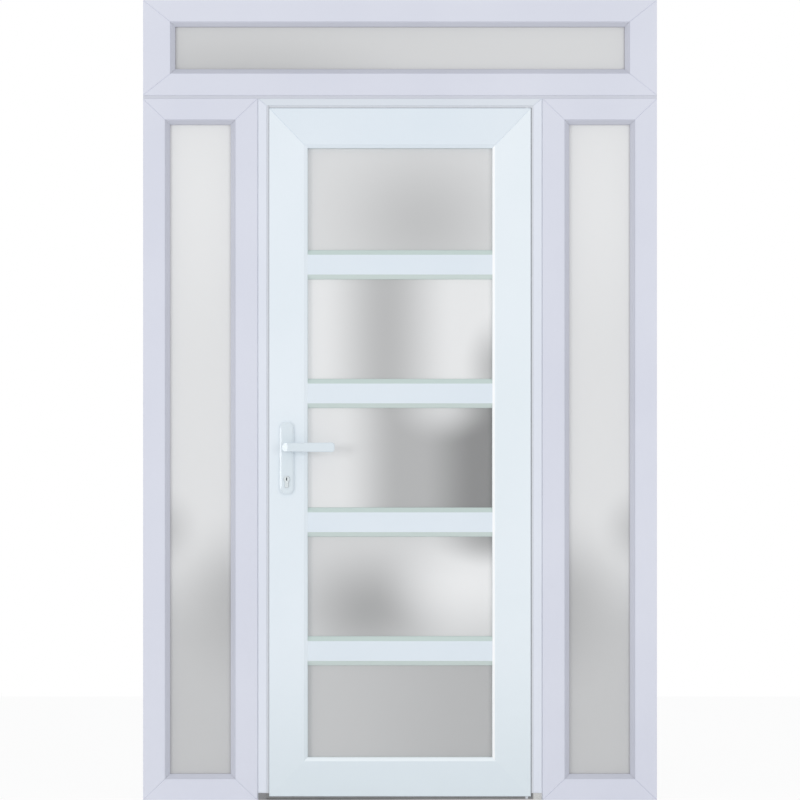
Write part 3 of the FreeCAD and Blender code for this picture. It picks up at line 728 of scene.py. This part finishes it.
# %% [markdown]
# The inner plate is held by two screws, and so are the lock's faceplate and the strike. A screw head
# is a low cone with a tapered rim; its round drive recess is made by insetting the top face and
# pushing it down.

# %% Screw heads
SCREW_RADIUS = 0.0036
SCREW_RISE = 0.0008
SCREW_RECESS = 0.0010
SCREW_TAPER = 0.86
SCREW_RIM_SHARE = 0.45
SCREW_SIDES = 24
FACING_UP = 0.9


def screw_head(bm, place, direction):
    """Add a low round screw head, standing on a point and facing a direction."""
    before = set(bm.verts)
    bmesh.ops.create_cone(
        bm,
        cap_ends=True,
        segments=SCREW_SIDES,
        radius1=SCREW_RADIUS,
        radius2=SCREW_RADIUS * SCREW_TAPER,
        depth=SCREW_RISE * 2,
    )
    head = [vert for vert in bm.verts if vert not in before]
    faces = {face for vert in head for face in vert.link_faces}
    cap = [face for face in faces if face.normal.z > FACING_UP]
    bmesh.ops.inset_region(bm, faces=cap, thickness=SCREW_RADIUS * SCREW_RIM_SHARE)
    bmesh.ops.translate(bm, vec=(0, 0, -SCREW_RECESS), verts=cap[0].verts)
    whole = [vert for vert in bm.verts if vert not in before]
    turn = Vector((0, 0, 1)).rotation_difference(Vector(direction)).to_matrix().to_4x4()
    bmesh.ops.transform(bm, matrix=Matrix.Translation(place) @ turn, verts=whole)


SCREW_FROM_END = 0.014
LATCH_PROUD = 0.005
plate_low, plate_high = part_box("inner_backplate")
faceplate_low, faceplate_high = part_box("lock_faceplate")
strike_low, strike_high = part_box("strike_plate")
plate_middle = (plate_low.x + plate_high.x) / 2
faceplate_middle = (faceplate_low.y + faceplate_high.y) / 2
strike_middle = (strike_low.y + strike_high.y) / 2

leaf_screws = bmesh.new()
for z in (plate_low.z + SCREW_FROM_END, plate_high.z - SCREW_FROM_END):
    screw_head(leaf_screws, (plate_middle, plate_high.y, z), (0, 1, 0))
for z in (faceplate_low.z + SCREW_FROM_END, faceplate_high.z - SCREW_FROM_END):
    screw_head(leaf_screws, (faceplate_low.x + LATCH_PROUD, faceplate_middle, z), (-1, 0, 0))
finished(leaf_screws, "leaf_screws", lock_metal, "leaf")

strike_screws = bmesh.new()
for z in (strike_low.z + SCREW_FROM_END, strike_high.z - SCREW_FROM_END):
    screw_head(strike_screws, (strike_high.x, strike_middle, z), (1, 0, 0))
finished(strike_screws, "strike_screws", lock_metal, "frame")

# %% [markdown]
# The stage is a pale floor. To the camera, and to rays that gloss or glass send on, most of its
# surface is plain white and only a small share is lit, which keeps a soft shadow of the door.

# %% Floor
FLOOR_SIZE = 8.0
FLOOR_WHITE_SHARE = 0.90


def seen_directly(nodes, links):
    """Output that is 1 for camera, glossy and transmission rays."""
    path = nodes.new("ShaderNodeLightPath")
    either = path.outputs["Is Camera Ray"]
    for ray in ("Is Glossy Ray", "Is Transmission Ray"):
        larger = nodes.new("ShaderNodeMath")
        larger.operation = "MAXIMUM"
        links.new(either, larger.inputs[0])
        links.new(path.outputs[ray], larger.inputs[1])
        either = larger.outputs["Value"]
    return either


floor_bm = bmesh.new()
bmesh.ops.create_grid(floor_bm, x_segments=1, y_segments=1, size=FLOOR_SIZE / 2)
floor_mesh = bpy.data.meshes.new("floor")
floor_bm.to_mesh(floor_mesh)
floor_bm.free()
floor = bpy.data.objects.new("floor", floor_mesh)
bpy.context.scene.collection.objects.link(floor)
floor_paint = Finish("floor_paint")
floor_paint.colour(floor_paint.mixed(floor_paint.noise(1.5), grey(240), grey(246)))
floor_paint.set(roughness=0.8)
white_share = floor_paint.math(
    "MULTIPLY", seen_directly(floor_paint.nodes, floor_paint.links), FLOOR_WHITE_SHARE
)
plain_white = floor_paint.nodes.new("ShaderNodeEmission")
floor_mix = floor_paint.nodes.new("ShaderNodeMixShader")
floor_paint.join(white_share, floor_mix.inputs["Fac"])
floor_paint.join(floor_paint.shader.outputs["BSDF"], floor_mix.inputs[1])
floor_paint.join(plain_white.outputs["Emission"], floor_mix.inputs[2])
floor_paint.join(floor_mix.outputs["Shader"], floor_paint.nodes["Material Output"].inputs["Surface"])
wear(floor, floor_paint)
print("floor", FLOOR_SIZE, "m wide")

# %% [markdown]
# The surroundings are white to the camera as well. All other rays meet a softer sky that only lights
# the door.

# %% Surroundings
SKY_STRENGTH = 0.76
world = bpy.data.worlds.new("studio")
bpy.context.scene.world = world
world.use_nodes = True
sky_nodes = world.node_tree.nodes
sky_links = world.node_tree.links
sky_nodes.clear()
soft_sky = sky_nodes.new("ShaderNodeBackground")
soft_sky.inputs["Color"].default_value = (0.97, 0.985, 1.0, 1.0)
soft_sky.inputs["Strength"].default_value = SKY_STRENGTH
white_sky = sky_nodes.new("ShaderNodeBackground")
white_sky.inputs["Color"].default_value = (1.0, 1.0, 1.0, 1.0)
white_sky.inputs["Strength"].default_value = 1.0
sky_mix = sky_nodes.new("ShaderNodeMixShader")
sky_out = sky_nodes.new("ShaderNodeOutputWorld")
sky_links.new(seen_directly(sky_nodes, sky_links), sky_mix.inputs["Fac"])
sky_links.new(soft_sky.outputs["Background"], sky_mix.inputs[1])
sky_links.new(white_sky.outputs["Background"], sky_mix.inputs[2])
sky_links.new(sky_mix.outputs["Shader"], sky_out.inputs["Surface"])
print("sky strength", SKY_STRENGTH)

# %% [markdown]
# Most of the light comes evenly from the white surroundings. A soft lamp stands to the left at hand
# height, where the slanted elbow of the lever mirrors it to the camera, and a like one on the right
# keeps the shadows pale. A narrow lamp far to the left draws the bright rim of the handle plate.

# %% Lamps
def soft_lamp(name, place, target, size, power):
    """Square area lamp aimed at a point."""
    data = bpy.data.lights.new(name, "AREA")
    data.shape = "SQUARE"
    data.size = size
    data.energy = power
    lamp = bpy.data.objects.new(name, data)
    lamp.location = place
    lamp.rotation_euler = (Vector(target) - Vector(place)).to_track_quat("-Z", "Y").to_euler()
    bpy.context.scene.collection.objects.link(lamp)
    print(name, "gives", power, "W")


MIDDLE = (0.0, 0.0, (cad_low.z + cad_high.z) / 2)
soft_lamp("key_lamp", (-5.8, -6.2, 1.9), MIDDLE, 2.6, 105)
soft_lamp("fill_lamp", (4.8, -6.9, 1.9), MIDDLE, 2.6, 85)
soft_lamp("rim_lamp", (-7.4, -3.8, 0.9), MIDDLE, 1.2, 20)

# %% [markdown]
# The photo is taken straight on from far away: level lines stay level and the set fills the height
# of the picture. A long lens at a matching distance does that: the distance follows from the height
# of the door front, the width of the sensor and the focal length.

# %% Camera
LENS = 180.0
SENSOR = 36.0
SIGHT_LIMIT = 100.0
camera_data = bpy.data.cameras.new("camera")
camera_data.lens = LENS
camera_data.sensor_width = SENSOR
camera_data.clip_end = SIGHT_LIMIT
camera = bpy.data.objects.new("camera", camera_data)
bpy.context.scene.collection.objects.link(camera)
picture_height = cad_high.z - cad_low.z
distance = picture_height * LENS / SENSOR
camera.location = (0.0, head_low.y - distance, picture_height / 2)
camera.rotation_euler = (math.radians(90), 0, 0)
bpy.context.scene.camera = camera
bpy.context.scene.view_settings.view_transform = "Standard"
print("camera", round(distance, 2), "m in front")
